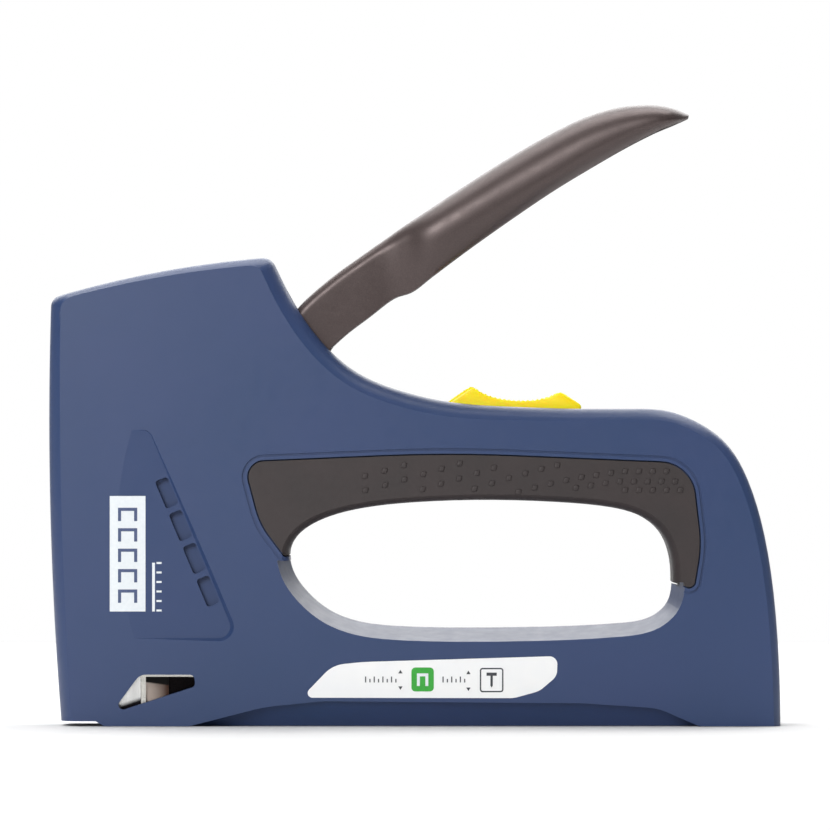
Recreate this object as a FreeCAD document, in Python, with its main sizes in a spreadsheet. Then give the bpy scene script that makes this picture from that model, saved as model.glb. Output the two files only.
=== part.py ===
import FreeCAD, Part

# A lever-operated hand tacker (staple gun), in millimetres.
# +X runs from the nose, where staples leave, to the rear end of the base. +Y is across
# the tool and +Z is up. The origin is on the flat base, under the middle of the tool.
# The casing is two crowned half shells that meet at Y = 0.

import math
import os
import re

import Sketcher

V = FreeCAD.Vector
SIDE = -1                     # the left half lies on the -Y side
ALONG_Y = V(0, 1, 0)

DIMENSIONS = {
    # casing
    "half_width": 17, "crown_radius": 1400, "crown_x": 12, "crown_z": 50,
    "blank_radius": 1900, "blank_proud": 0.45, "front_round": 8, "top_round": 5,
    "scoop_round": 7.5, "rear_round": 5.5, "corner_round": 3, "wall": 2.4,
    "opening_wall": 4.5, "grip_skin": 1.8, "grip_seam": 0.35, "groove_depth": 0.35,
    "bevel_run": 3.2, "bevel_rise": 15, "bevel_low": 1.5,
    "base_solid": 8, "panel_floor": 14.2, "vent_floor": 12.2,
    "label_sink": 0.25, "label_proud": 0.1,
    "slot_half": 8.6, "slot_front": -33.5, "slot_rear": -7,
    "slider_half": 6, "slider_gap": 0.4, "stem_half": 2.8, "slider_tilt": 3.4,
    # screws
    "screw_radius": 1.4, "screw_clearance": 1.6, "screw_head": 3, "head_height": 2.2,
    "screw_reach": 7, "boss_radius": 3.5,
    # lever and its pivots
    "pivot_x": -41, "pivot_z": 80, "pin_radius": 2.5, "pin_reach": 11.5,
    "lift_x": -61, "lift_z": 84.5, "lift_pin_radius": 2, "running_fit": 0.05,
    "elbow_x": -62.6, "elbow_z": 74, "catch_x": -67.2, "catch_z": 73.5,
    "neck_half": 8, "palm_half": 13, "lever_gauge": 1.8,
    "arm_inner": 3.9, "arm_gauge": 2.3, "arm_joint_x": -19.9, "arm_joint_z": 107.2,
    "hook_half": 1.4, "hook_boss_half": 3.6,
    # hammer, driver and main spring
    "hammer_front": -86.7, "hammer_rear": -66, "hammer_low": 36, "hammer_top": 60,
    "hammer_half": 7.8, "lug_half": 5, "lug_front": -70.5, "lug_rear": -65.8,
    "lug_top": 80, "ledge": 75.7, "blade_gauge": 1.2, "blade_half": 5.4,
    "blade_low": 1.4, "blade_top": 58, "spring_x": -80.5, "spring_radius": 7.9,
    "spring_wire": 1.1, "spring_top": 104.5, "spigot_radius": 6.4,
    # magazine and feed
    "magazine_half": 7, "magazine_wall": 1, "magazine_low": 1.2, "magazine_top": 17.8,
    "magazine_front": -70.6, "magazine_rear": 83.5, "guide_front": -86.4,
    "guide_top": 30, "rail_half": 4.3, "rail_wall": 0.8, "rail_low": 1.5,
    "rail_top": 12.4, "rail_front": -85.8, "rail_rear": 84, "rod_z": 6.5,
    "rod_radius": 1.2, "pusher_half": 5.6, "pusher_wall": 1, "pusher_top": 14.2,
    "pusher_front": -85.6, "pusher_rear": -63.6, "knob_half": 8, "knob_rear": 91.5,
}

doc = FreeCAD.newDocument("staple_gun")
sheet = doc.addObject("Spreadsheet::Sheet", "Dims")
for row, (alias, value) in enumerate(DIMENSIONS.items(), 1):
    sheet.set(f"A{row}", alias)
    sheet.set(f"B{row}", str(value))
    sheet.setAlias(f"B{row}", alias)
doc.recompute()

nodes = []


def size(alias):
    """The value of one driving dimension."""
    return float(sheet.get(alias))


def cells(text):
    """An expression over the sheet, from one written with bare aliases."""
    return re.sub(r"[a-z]+_[a-z_]+|[a-z]{4,}", r"Dims.\g<0>", str(text))


def node(item, label):
    """Name a finished sub-part and keep it for export."""
    item.Label = label
    nodes.append(item)
    return item


# ---------------------------------------------------------------- building blocks

def block(name, x, y, z):
    """A box between two expressions on each axis."""
    item = doc.addObject("Part::Box", name)
    for prop, axis, (low, high) in (("Length", "x", x), ("Width", "y", y), ("Height", "z", z)):
        item.setExpression(prop, cells(f"({high}) - ({low})"))
        item.setExpression(f"Placement.Base.{axis}", cells(low))
    return item


def across(half):
    """The span from -half to +half."""
    return (f"-({half})", half)


def rod(name, x, z, radius, y):
    """A cylinder along Y at x, z, between two expressions in y."""
    item = doc.addObject("Part::Cylinder", name)
    item.Placement = FreeCAD.Placement(V(), FreeCAD.Rotation(V(1, 0, 0), -90))
    item.setExpression("Radius", cells(radius))
    item.setExpression("Height", cells(f"({y[1]}) - ({y[0]})"))
    for axis, text in (("x", x), ("y", y[0]), ("z", z)):
        item.setExpression(f"Placement.Base.{axis}", cells(text))
    return item


def post(name, x, y, radius, z):
    """A cylinder along Z at x, y, between two expressions in z."""
    item = doc.addObject("Part::Cylinder", name)
    item.setExpression("Radius", cells(radius))
    item.setExpression("Height", cells(f"({z[1]}) - ({z[0]})"))
    for axis, text in (("x", x), ("y", y), ("z", z[0])):
        item.setExpression(f"Placement.Base.{axis}", cells(text))
    return item


def bar(name, y, z, radius, x):
    """A cylinder along X at y, z, between two expressions in x."""
    item = doc.addObject("Part::Cylinder", name)
    item.Placement = FreeCAD.Placement(V(), FreeCAD.Rotation(ALONG_Y, 90))
    item.setExpression("Radius", cells(radius))
    item.setExpression("Height", cells(f"({x[1]}) - ({x[0]})"))
    for axis, text in (("x", x[0]), ("y", y), ("z", z)):
        item.setExpression(f"Placement.Base.{axis}", cells(text))
    return item


def fuse(name, *items):
    item = doc.addObject("Part::MultiFuse", name)
    item.Shapes = list(items)
    return item


def cut(name, base, *tools):
    """base with each tool cut away."""
    item = doc.addObject("Part::Cut", name)
    item.Base = base
    item.Tool = tools[0] if len(tools) == 1 else fuse(name + "_tools", *tools)
    return item


def coil(name, turn_radius, wire_radius, length, turns, placement):
    """A helical spring whose axis is the placement's own Z."""
    helix = doc.addObject("Part::Helix", name + "_path")
    helix.setExpression("Radius", cells(turn_radius))
    helix.setExpression("Height", cells(length))
    helix.setExpression("Pitch", cells(f"({length}) / {turns}"))
    section = doc.addObject("Part::Circle", name + "_wire")
    section.setExpression("Radius", cells(wire_radius))
    section.Placement = FreeCAD.Placement(V(), FreeCAD.Rotation(V(1, 0, 0), 90))
    section.setExpression("Placement.Base.x", cells(turn_radius))
    spring = doc.addObject("Part::Sweep", name)
    spring.Sections = [section]
    spring.Spine = (helix, [])
    spring.Solid = True
    spring.Frenet = True
    spring.Placement = placement
    return spring


def rounded(points, up):
    """A closed run of straight lines and arcs. Each point is (a, b) or (a, b, radius),
    and up turns a flat (a, b) into a place in space."""
    spots = [(p[0], p[1], p[2] if len(p) > 2 else 0) for p in points]
    ends = []
    for index, (a, b, radius) in enumerate(spots):
        before, after = spots[index - 1], spots[(index + 1) % len(spots)]
        here = V(a, b, 0)
        back = (V(before[0], before[1], 0) - here).normalize()
        ahead = (V(after[0], after[1], 0) - here).normalize()
        if not radius:
            ends.append((here, None, here))
            continue
        half = back.getAngle(ahead) / 2
        reach = radius / math.tan(half)
        middle = here + (back + ahead).normalize() * (radius / math.sin(half) - radius)
        ends.append((here + back * reach, middle, here + ahead * reach))
    edges = []
    for index, (start, middle, end) in enumerate(ends):
        if middle:
            edges.append(Part.Arc(up(start), up(middle), up(end)))
        following = ends[(index + 1) % len(ends)][0]
        if (following - end).Length > 1e-6:
            edges.append(Part.LineSegment(up(end), up(following)))
    return edges


def in_side(p):
    """A flat point as a place in the side plane, Y = 0."""
    return V(p.x, 0, p.y)


def in_plan(p):
    return V(p.x, p.y, 0)


def wire(curves):
    return Part.Wire([c.toShape() for c in curves])


def prism(outline, low, high):
    """A wire in the side plane, filled and drawn out from Y = low to Y = high."""
    face = Part.Face(outline)
    face.translate(V(0, low, 0))
    return face.extrude(V(0, high - low, 0))


def grown(outline, distance, sag):
    """The outline moved outwards (or inwards, if negative) as short straight chords."""
    moved = outline.makeOffset2D(distance, 0, False, False, False)
    flat = [V(p.x, 0, p.z) for p in moved.discretize(Deflection=sag)]
    if (flat[0] - flat[-1]).Length > 1e-4:
        flat.append(flat[0])
    flat[-1] = flat[0]
    return Part.makePolygon(flat)


def slab(x, y, z):
    """A plain box shape between two numbers on each axis."""
    return Part.makeBox(x[1] - x[0], y[1] - y[0], z[1] - z[0], V(x[0], y[0], z[0]))


def peg(x, z, radius, low, high):
    """A plain cylinder shape along Y."""
    return Part.makeCylinder(radius, high - low, V(x, low, z), ALONG_Y)


def sketch_on(body, role, offset=0):
    """An empty sketch on one of the body's own origin planes."""
    sketch = body.newObject("Sketcher::SketchObject", body.Name + "_sketch")
    plane = next(f for f in body.Origin.OriginFeatures if f.Role == role)
    sketch.AttachmentSupport = (plane, [""])
    sketch.MapMode = "FlatFace"
    sketch.AttachmentOffset = FreeCAD.Placement(V(0, 0, offset), FreeCAD.Rotation())
    return sketch


def pad(body, sketch, length):
    feature = body.newObject("PartDesign::Pad", body.Name + "_pad")
    feature.Profile = sketch
    feature.setExpression("Length", cells(length))
    sketch.Visibility = False
    return feature


def hold(sketch, kind, places, text):
    """A sketch constraint whose value is an expression over the sheet."""
    value = doc.Dims.evalExpression(cells(text))
    index = sketch.addConstraint(Sketcher.Constraint(kind, *places, float(value)))
    sketch.setExpression(f"Constraints[{index}]", cells(text))


def plate(name, outlines, low, high):
    """A body padded from rounded outlines in the side plane, between Y = low and high."""
    body = doc.addObject("PartDesign::Body", name)
    sketch = sketch_on(body, "XZ_Plane")
    sketch.setExpression("AttachmentOffset.Base.z", cells(f"-({high})"))
    for points in outlines:
        first = sketch.GeometryCount
        sketch.addGeometry(rounded(points, lambda p: V(p.x, p.y, 0)), False)
        for index in range(first, sketch.GeometryCount):
            sketch.addConstraint(Sketcher.Constraint("Block", index))
    pad(body, sketch, f"({high}) - ({low})")
    return body


def link(body, a, b, low, high):
    """Pad a bar with round ends. a and b are (x, z, radius) expressions."""
    sketch = sketch_on(body, "XZ_Plane")
    sketch.setExpression("AttachmentOffset.Base.z", cells(f"-({high})"))
    ends = [[float(doc.Dims.evalExpression(cells(text))) for text in end] for end in (a, b)]
    (ax, az, ar), (bx, bz, br) = ends
    span = math.hypot(bx - ax, bz - az)
    heading = math.atan2(bz - az, bx - ax)
    lean = math.acos((ar - br) / span)
    up, down = heading + lean, heading - lean

    def rim(x, z, radius, angle):
        return V(x + radius * math.cos(angle), z + radius * math.sin(angle), 0)

    axis = V(0, 0, 1)
    sketch.addGeometry([
        Part.ArcOfCircle(Part.Circle(V(ax, az, 0), axis, ar), up, down + 2 * math.pi),
        Part.LineSegment(rim(ax, az, ar, down), rim(bx, bz, br, down)),
        Part.ArcOfCircle(Part.Circle(V(bx, bz, 0), axis, br), down, up),
        Part.LineSegment(rim(bx, bz, br, up), rim(ax, az, ar, up))], False)
    start, end, centre = 1, 2, 3
    for first, second in (((0, end), (1, start)), ((1, end), (2, start)),
                          ((2, end), (3, start)), ((3, end), (0, start))):
        sketch.addConstraint(Sketcher.Constraint("Tangent", *first, *second))
    for index, (x, z, radius) in ((0, a), (2, b)):
        hold(sketch, "DistanceX", (-1, 1, index, centre), x)
        hold(sketch, "DistanceY", (-1, 1, index, centre), z)
        hold(sketch, "Radius", (index,), radius)
    return pad(body, sketch, f"({high}) - ({low})")


def disc(body, x, z, radius, low, high, hole=False):
    """Pad (or, for a hole, pocket) a circle between Y = low and high."""
    sketch = sketch_on(body, "XZ_Plane")
    sketch.setExpression("AttachmentOffset.Base.z", cells(f"-({high})"))
    spot = [float(doc.Dims.evalExpression(cells(text))) for text in (x, z, radius)]
    sketch.addGeometry(Part.Circle(V(spot[0], spot[1], 0), V(0, 0, 1), spot[2]), False)
    hold(sketch, "DistanceX", (-1, 1, 0, 3), x)
    hold(sketch, "DistanceY", (-1, 1, 0, 3), z)
    hold(sketch, "Radius", (0,), radius)
    if not hole:
        return pad(body, sketch, f"({high}) - ({low})")
    feature = body.newObject("PartDesign::Pocket", body.Name + "_hole")
    feature.Profile = sketch
    feature.Reversed = True
    feature.setExpression("Length", cells(f"({high}) - ({low})"))
    sketch.Visibility = False
    return feature


# ---------------------------------------------------------------- casing outlines

def curve(points, start, end):
    """A smooth line through points in the side plane, with its two end directions."""
    spline = Part.BSplineCurve()
    spline.interpolate(Points=[V(x, 0, z) for x, z in points],
                       InitialTangent=V(start[0], 0, start[1]),
                       FinalTangent=V(end[0], 0, end[1]))
    return spline.toShape()


def casing_outline():
    """The tool in side view: flat base, bowed rear, handle, scooped front, tall head."""
    def straight(a, b):
        return Part.LineSegment(V(a[0], 0, a[1]), V(b[0], 0, b[1])).toShape()

    def bow(a, b, c):
        return Part.Arc(*(V(x, 0, z) for x, z in (a, b, c))).toShape()

    toe, heel, rear = (-82, 1.2), (-80, 0), (92.5, 0)
    nose, brow, crest, cap = (-91, 1.2), (-93.6, 109), (-37.5, 119.4), (57, 80.8)
    return Part.Wire(Part.__sortEdges__([
        straight(nose, toe), straight(toe, heel), straight(heel, rear),
        curve([rear, (91.5, 26.2), (88.6, 47.7), (84.4, 62.1), (77.8, 72.8), (68, 78.9), cap],
              (0, 1), (-1, 0)),
        curve([cap, (42, 80.8), (24, 81.3), (5.8, 82.9), (-4.4, 85.4), (-14.7, 89.6),
               (-22.8, 96.0), (-28.8, 103.4), (-33.6, 111.4), crest], (-1, 0), (-1, 2)),
        bow(crest, (-66, 115.7), brow), bow(brow, (-93.8, 55), nose)]))


# The hand opening, with the places where its rounded rim changes size.
OPENING = [(-32.7, 43.5), (-31.6, 38.9), (-28, 33.8), (-22.5, 29.3), (-15, 26.4),
           (-5, 25.2), (16, 24.8), (31, 25.0), (52, 26.0), (60, 27.8), (63.8, 31.3),
           (65.0, 37.5), (64.3, 44), (61.8, 49.5), (56.5, 53.6), (48, 55.9), (36.5, 57.0),
           (18, 57.6), (0.7, 57.1), (-14.7, 55.4), (-24.9, 52.4), (-31, 48)]
OPENING_RIM = {(-32.7, 43.5): 4, (-15, 26.4): 5, (52, 26.0): 5, (65.0, 37.5): 4.5}


def opening_outline():
    """The hand opening as four smooth edges that meet where the rim changes size."""
    spline = Part.BSplineCurve()
    spline.interpolate(Points=[V(x, 0, z) for x, z in OPENING], PeriodicFlag=True)
    whole = spline.LastParameter - spline.FirstParameter
    marks = [spline.parameter(V(x, 0, z)) for x, z in OPENING_RIM]
    spans = zip(marks, marks[1:] + [marks[0] + whole])
    return Part.Wire([spline.toShape(start, end) for start, end in spans])


GRIP = [(-33.9, 43.4, 0.8), (-40, 51.5, 20), (-44.2, 67.2, 4), (8, 69.4, 400),
        (69.6, 66.8, 9), (72, 46, 30), (70.2, 35.0, 1.5), (62, 37.4), (40, 45), (-20, 45)]
PANEL = [(-81, 75.3), (-68.4, 75.3, 2.5), (-46.2, 22.4, 3), (-81, 22.4)]
WINDOW = [(-78.2, 3.1, 1.2), (-56.6, 10.1, 1.2), (-56.9, 13.1, 1.3), (-70.8, 13.1, 3)]
LABEL = [(-29.6, 7.3, 1.2), (24.5, 7.2, 8), (31.0, 9.0, 6), (35.4, 12.8, 3),
         (35.6, 17.9, 2), (-14, 16.4, 60), (-21.6, 15.6, 8)]
BASE_SCALLOP = [(-62, -1), (-39, 4.9, 40), (-24, 6.4, 30), (42, 5.9, 40), (61, 4.6, 15),
                (74, -1)]
SCREWS = [(-53, 108), (-55, 62), (-57, 28), (55, 72.8), (79, 46)]
REACH = 20                                    # further out than the casing's side
VENT_TOP, VENT_PITCH, VENT_COUNT = 60.2, 8.35, 4
VENT_LENGTH, VENT_WIDTH, VENT_INSET = 7.6, 3.4, 2.0


def crown(skin):
    """The ball that gives the left side its crown, skin deep below the surface."""
    radius = size("crown_radius")
    centre = V(size("crown_x"), radius - size("half_width"), size("crown_z"))
    return Part.makeSphere(radius - skin, centre)


def flatter_ball():
    """A larger ball just outside the crown. The crown cuts the rounded edges of a form
    made with it, so that they end in a soft crease."""
    radius = size("blank_radius")
    centre = V(size("crown_x"), radius - size("half_width") - size("blank_proud"),
               size("crown_z"))
    return Part.makeSphere(radius, centre)


def edge_round(edge):
    """The rounding of one edge of the casing's blank, or None."""
    box = edge.BoundBox
    if box.YLength > 8 and box.XLength < 0.5 and box.ZLength < 0.5:
        return size("corner_round") if box.ZMin > size("crown_z") else None
    if box.YMax > -8 or box.ZMax < 2:
        return None
    if box.XMax < size("lift_x"):
        return size("front_round")
    if box.ZMin > size("spring_top"):
        return size("top_round")
    return size("rear_round") if box.XMin > 0 else size("scoop_round")


def opening_bevel(opening):
    """The slanting face along the lower part of the opening's rim, below the grip."""
    run, rise = size("bevel_run"), size("bevel_rise")
    rings = []
    for reach in (-0.3, 1.6):
        ring = opening.makeOffset2D(reach * run, 0, False, False, False)
        ring.translate(V(0, SIDE * (size("bevel_low") + reach * rise), 0))
        rings.append(ring)
    below = [(-60, 43.6), (66, 36.6), (90, 36.6), (90, 0), (-60, 0)]
    return Part.makeLoft(rings, True, True).common(prism(wire(rounded(below, in_side)),
                                                         -REACH - 10, 1))


def rounded_form():
    """The left half of the casing as a solid form, with all its outer edges rounded."""
    opening = opening_outline()
    blank = doc.addObject("Part::Feature", "half_blank")
    blank.Shape = prism(casing_outline(), -REACH, 0).common(flatter_ball())
    outside = doc.addObject("Part::Fillet", "half_rounded")
    outside.Base = blank
    rounds = [(index, edge_round(edge)) for index, edge in enumerate(blank.Shape.Edges, 1)]
    outside.Edges = [(index, radius, radius) for index, radius in rounds if radius]
    doc.recompute()
    opened = doc.addObject("Part::Feature", "half_opened")
    opened.Shape = outside.Shape.cut(prism(opening, -REACH, 1))
    finished = doc.addObject("Part::Fillet", "half_open_rounded")
    finished.Base = opened
    radii = []
    for index, edge in enumerate(opened.Shape.Edges, 1):
        rims = [rim for spot in (edge.valueAt(edge.FirstParameter),
                                 edge.valueAt(edge.LastParameter))
                for (x, z), rim in OPENING_RIM.items()
                if spot.y < -8 and math.hypot(spot.x - x, spot.z - z) < 1]
        if len(rims) == 2 and edge.Length > 15:
            radii.append((index, *rims))
    finished.Edges = radii
    doc.recompute()
    return finished.Shape.common(crown(0)).cut(opening_bevel(opening))


def panel_recess():
    """The sunk side panel, with a sloping step around it."""
    step, rise = 1.4, 4
    floor = wire(rounded(PANEL, in_side))
    rim = floor.makeOffset2D(step * rise / 2, 0, False, False, False)
    floor.translate(V(0, SIDE * size("panel_floor"), 0))
    rim.translate(V(0, SIDE * (size("panel_floor") + rise), 0))
    return Part.makeLoft([floor, rim], True, True)


def vent_outline(height, length, width):
    """A slanting oblong beside the panel's step, with its middle at this height."""
    foot, top = V(*PANEL[2][:2], 0), V(*PANEL[1][:2], 0)
    along = (top - foot).normalize()
    beside = V(-along.y, along.x, 0)
    centre = foot + along * ((height - foot.y) / along.y) + beside * VENT_INSET
    corners = []
    for a, b in ((-1, -1), (1, -1), (1, 1), (-1, 1)):
        spot = centre + along * (a * length / 2) + beside * (b * width / 2)
        corners.append((spot.x, spot.y, 0.8))
    return wire(rounded(corners, in_side))


def vents():
    """Four blind slots in a slanting row along the panel's step."""
    heights = [VENT_TOP - index * VENT_PITCH for index in range(VENT_COUNT)]
    return [prism(vent_outline(height, VENT_LENGTH, VENT_WIDTH), -REACH,
                  -size("vent_floor")) for height in heights]


def vent_backing():
    """The thicker wall behind the slots."""
    middle = VENT_TOP - VENT_PITCH * (VENT_COUNT - 1) / 2
    outline = vent_outline(middle, VENT_PITCH * VENT_COUNT + 6, VENT_WIDTH + 5)
    return prism(outline, -REACH, size("wall") - size("vent_floor") - 0.4)


def base_scallop():
    """The slanting cut along the lower edge of each side."""
    low, high, depth = 9.8, 14.8, 6.4
    profile = [V(0, y, z) for y, z in ((-low, 0), (-high, depth), (-high, 9), (-REACH, 9),
                                       (-REACH, -2), (-low, -2), (-low, 0))]
    wedge = Part.Face(Part.makePolygon(profile)).extrude(V(160, 0, 0))
    wedge.translate(V(-70, 0, 0))
    return prism(wire(rounded(BASE_SCALLOP, in_side)), -REACH, -low).common(wedge)


def slider_recess():
    """The sloping track for the force slider, and the slot for its stem."""
    front, rear, sink = 3.6, 46, 0.5
    half = size("slider_half") + size("slider_gap")
    track = slab((front, rear), (-half, 1), (82.3 - sink, 92))
    stem = size("stem_half") + size("slider_gap")
    slot = slab((12, 36), (-stem, 1), (70, 92))
    track.rotate(V(front, 0, 82.3), ALONG_Y, size("slider_tilt"))
    return [track, slot]


def hollow(grip_outline, opening):
    """Everything inside the left half that isn't plastic."""
    wall = size("wall")
    room = prism(grown(casing_outline(), -wall, 0.2), -REACH, 1).common(crown(wall))
    backing = prism(grown(grip_outline, 2.2, 0.2), -REACH, 1)
    backing = backing.cut(crown(size("grip_skin") + 2.2))
    kept = [prism(grown(opening, size("opening_wall"), 0.2), -REACH, 2), backing,
            slab((-95, 95), (-REACH, 2), (-2, size("base_solid"))),
            slab((-95, -52), (-REACH, 2), (0, 20)),
            slab((77, 95), (-REACH, 2), (0, 24.5)),
            slab((-95, -69), (-REACH, 2), (size("spring_top") + 2, 118))]
    kept += [peg(x, z, size("boss_radius"), -REACH, 2) for x, z in SCREWS]
    kept.append(peg(size("pivot_x"), size("pivot_z"), 5.5, -REACH, -7.4))
    kept.append(vent_backing())
    for x in (-84, -74):
        kept.append(slab((x, x + 2), (-REACH, -8.2), (18, 59)))
    return room.cut(kept)


def casing_half(form, grip_seat, grip_outline, opening):
    """The left shell's shape, before its screw holes."""
    far = 1
    magazine = size("magazine_half") + 0.3
    pockets = [hollow(grip_outline, opening), grip_seat, panel_recess(), base_scallop(),
               prism(wire(rounded(WINDOW, in_side)), -REACH, far),
               slab((-89.7, 95), (-magazine, far), (-2, size("magazine_top") + 0.2)),
               slab((-89.7, -66), (-magazine, far), (-2, size("hammer_low") + 0.5)),
               slab((80, 95), (-size("knob_half") - 1, far), (1, 22)),
               slab((size("slot_front"), size("slot_rear")), (-size("slot_half"), far),
                    (80, 130))]
    pockets += vents() + slider_recess()
    ring = prism(grown(grip_outline, 1.7, 0.02), -REACH, -5)
    ring = ring.cut(prism(grown(grip_outline, 1.15, 0.02), -REACH, -5))
    pockets.append(ring.cut(crown(size("groove_depth"))))
    pockets.append(peg(size("pivot_x"), size("pivot_z"), size("pin_radius"),
                       -size("pin_reach"), far))
    return form.cut(pockets)


def feature(name, shape):
    item = doc.addObject("Part::Feature", name)
    item.Shape = shape
    item.Placement = FreeCAD.Placement()
    return item


def mirrored(shape):
    return shape.mirror(V(0, 0, 0), ALONG_Y)


def make_casing():
    form = rounded_form()
    opening = opening_outline()
    grip_outline = wire(rounded(GRIP, in_side))
    core = prism(casing_outline(), -REACH, 1).common(crown(size("grip_skin")))
    core = core.cut(prism(grown(opening, size("grip_skin"), 0.05), -REACH, 2))
    grip = prism(grip_outline, -REACH, 0).common(form).cut(core)
    seat_outline = grip_outline.makeOffset2D(size("grip_seam"), 0, False, False, False)
    grip_seat = prism(seat_outline, -REACH, 0).common(form).cut(core)
    shell = casing_half(form, grip_seat, grip_outline, opening)

    label_prism = prism(wire(rounded(LABEL, in_side)), -REACH, -12)
    label = label_prism.common(crown(-size("label_proud"))).cut(crown(size("label_sink")))
    pilots = [peg(x, z, size("screw_radius"), -size("screw_reach"), 1) for x, z in SCREWS]
    clear = [peg(x, z, size("screw_clearance"), -1, REACH) for x, z in SCREWS]
    seats = [peg(x, z, size("screw_head") + 0.2, head_seat(x, z), REACH) for x, z in SCREWS]
    node(feature("housing_left_shell", shell.cut(pilots + [label])), "housing_left")
    node(feature("housing_right_shell", mirrored(shell).cut(clear + seats)), "housing_right")
    node(feature("grip_sleeve", grip.fuse(mirrored(grip)).removeSplitter()), "grip_insert")
    node(feature("load_label", label), "label_left")


def side_at(x, z):
    """How far the crowned side stands from the middle at x, z."""
    drop = math.hypot(x - size("crown_x"), z - size("crown_z")) ** 2
    return size("half_width") - drop / (2 * size("crown_radius"))


def head_seat(x, z):
    """Where a screw head's underside sits, counted from the middle."""
    return side_at(x, z) - size("head_height") - 1.2


def make_screws():
    shanks, slots = [], []
    for x, z in SCREWS:
        seat = head_seat(x, z)
        shanks.append(rod("shank", x, z, "screw_radius", ("-screw_reach", seat)))
        shanks.append(rod("head", x, z, "screw_head", (seat, f"{seat} + head_height")))
        for a, b in ((1.8, 0.4), (0.4, 1.8)):
            slots.append(block("cross", (x - a, x + a), (seat + 0.9, seat + 4),
                               (z - b, z + b)))
    node(cut("screws", fuse("screw_blanks", *shanks), *slots), "housing_screws")


# ---------------------------------------------------------------- lever

LEVER_TOP = [(-36.4, 97.5), (-30.5, 107), (-24.9, 112.0), (-14.7, 119.7), (0.7, 130.2),
             (16.1, 140.4), (31.4, 150.1), (41.7, 155.0), (51.9, 158.1), (57.0, 158.6),
             (64.0, 157.9), (69.5, 156.0)]
LEVER_UNDER = [(69.0, 155.0), (57.0, 149.6), (41.7, 141.2), (26.3, 131.2), (5.8, 116.4),
               (0.7, 112.8), (-9.5, 106.9), (-19.8, 98.7), (-27.5, 90.5)]


def lever_plan(less):
    """The lever from above, drawn in by less on every side: narrow neck, wide palm."""
    neck, palm = size("neck_half") - less, size("palm_half") - less
    tip = 70.5 - less
    return wire(rounded([(-40, -neck), (-11, -neck, 12), (2, -palm, 12), (tip, -palm, 11),
                         (tip, palm, 11), (2, palm, 12), (-11, neck, 12), (-40, neck)],
                        in_plan))


def lever_side():
    ends = [(LEVER_TOP[-1], LEVER_UNDER[0]), (LEVER_UNDER[-1], LEVER_TOP[0])]
    edges = [curve(LEVER_TOP, (-1, 4), (3, -2)), curve(LEVER_UNDER, (-4, -2), (-1, -1))]
    edges += [Part.LineSegment(V(a[0], 0, a[1]), V(b[0], 0, b[1])).toShape()
              for a, b in ends]
    return Part.Wire(Part.__sortEdges__(edges))


def make_lever():
    """A pressed channel, open underneath, that the palm pushes down."""
    gauge, tall = size("lever_gauge"), V(0, 0, 100)
    outer = Part.Face(lever_plan(0))
    outer.translate(V(0, 0, 80))
    inner = Part.Face(lever_plan(gauge))
    inner.translate(V(0, 0, 80))
    side = prism(lever_side(), -REACH, REACH)
    room = side.copy()
    room.translate(V(0.56 * gauge, 0, -0.83 * gauge))
    shape = side.common(outer.extrude(tall)).cut(room.common(inner.extrude(tall)))
    hinge = V(size("arm_joint_x"), 0, size("arm_joint_z"))
    for spot in arm_rivets(hinge):
        shape = shape.cut(peg(spot.x, spot.z, 2, -REACH, REACH))
    node(feature("lever_channel", shape), "lever")


def arm_rivets(joint):
    """The two rivets that hold the arms in the lever's neck."""
    pivot = V(size("pivot_x"), 0, size("pivot_z"))
    back = (pivot - joint).normalize()
    return [joint, joint + back * 10]


def make_arms():
    joint = V(size("arm_joint_x"), 0, size("arm_joint_z"))
    outer = "arm_inner + arm_gauge"
    for side, low, high in (("left", f"-({outer})", "-arm_inner"),
                            ("right", "arm_inner", outer)):
        body = doc.addObject("PartDesign::Body", "arm_" + side)
        link(body, ("pivot_x", "pivot_z", "7"), ("lift_x", "lift_z", "3.5"), low, high)
        link(body, ("pivot_x", "pivot_z", "7"), ("arm_joint_x", "arm_joint_z", "4.4"),
             low, high)
        disc(body, "pivot_x", "pivot_z", "pin_radius + running_fit", low, high, True)
        disc(body, "lift_x", "lift_z", "lift_pin_radius", low, high, True)
        for spot in arm_rivets(joint):
            disc(body, f"{spot.x}", f"{spot.z}", "2", low, high, True)
        node(body, "lever_arm_" + side)
    rivets = [rod("rivet", spot.x, spot.z, "2", across("neck_half - 0.1"))
              for spot in arm_rivets(joint)]
    node(fuse("arm_rivets", *rivets), "lever_rivets")


def make_pivot():
    node(rod("pivot_pin", "pivot_x", "pivot_z", "pin_radius", across("pin_reach")),
         "lever_pin")
    gap = "arm_inner + arm_gauge + 0.15"
    washers = []
    for low, high in ((gap, "7.3"), ("-7.3", f"-({gap})")):
        ring = rod("washer", "pivot_x", "pivot_z", "4.8", (low, high))
        bore = rod("washer_bore", "pivot_x", "pivot_z", "pin_radius", (low, high))
        washers.append(cut("washer_ring", ring, bore))
    node(fuse("washers", *washers), "pivot_washers")
    turned = FreeCAD.Rotation(V(1, 0, 0), -90)
    place = FreeCAD.Placement(V(size("pivot_x"), -2.8, size("pivot_z")), turned)
    node(coil("return_coil", "pin_radius + 1.6", "0.5", "5.6", 3, place),
         "lever_return_spring")


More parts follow.
